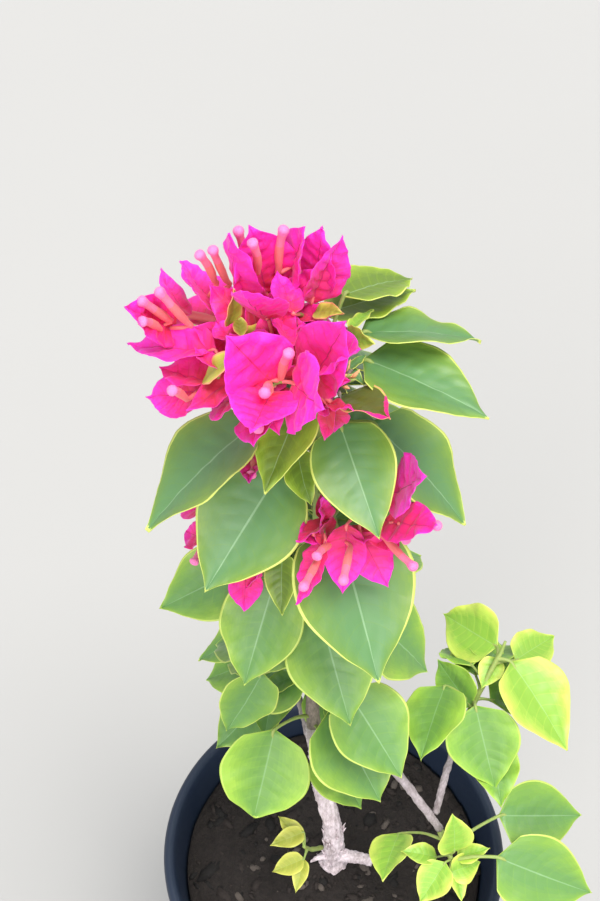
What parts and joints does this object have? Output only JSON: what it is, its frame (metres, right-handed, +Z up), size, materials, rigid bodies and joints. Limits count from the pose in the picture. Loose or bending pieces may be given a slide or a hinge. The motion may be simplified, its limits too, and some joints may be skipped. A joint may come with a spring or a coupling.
{
  "type": "potted bougainvillea",
  "caption": "Compact flowering shrub in a tapered plastic pot: a leaning woody stem with pale-margined leaves, papery magenta blooms at its top and sides, and low side shoots.",
  "frame": {"origin": "centre of the pot's flat underside, on the surface that the pot stands on", "axes": "+Z up; -Y towards the side that the picture shows; +X to the right as seen from that side"},
  "size_m": [0.2308, 0.2031, 0.6299],
  "materials": {
    "pot": "satin",
    "soil": "matte",
    "bark": "matte",
    "leaf": "satin",
    "young_leaf": "satin",
    "bract": "matte"
  },
  "bodies": {
    "root": {"pot": "pot", "soil": "soil", "stem_main": "bark", "branch_right": "bark", "branch_rising": "bark", "branch_back": "bark", "leaves_leader": "leaf", "leaves_right": "young_leaf", "leaves_low": "young_leaf", "leaves_back": "young_leaf", "leaves_foot": "young_leaf", "bloom_top": "bract", "bloom_right": "bract", "bloom_left": "bract", "bloom_front": "bract", "bloom_rear": "bract"}
  },
  "joints": []
}
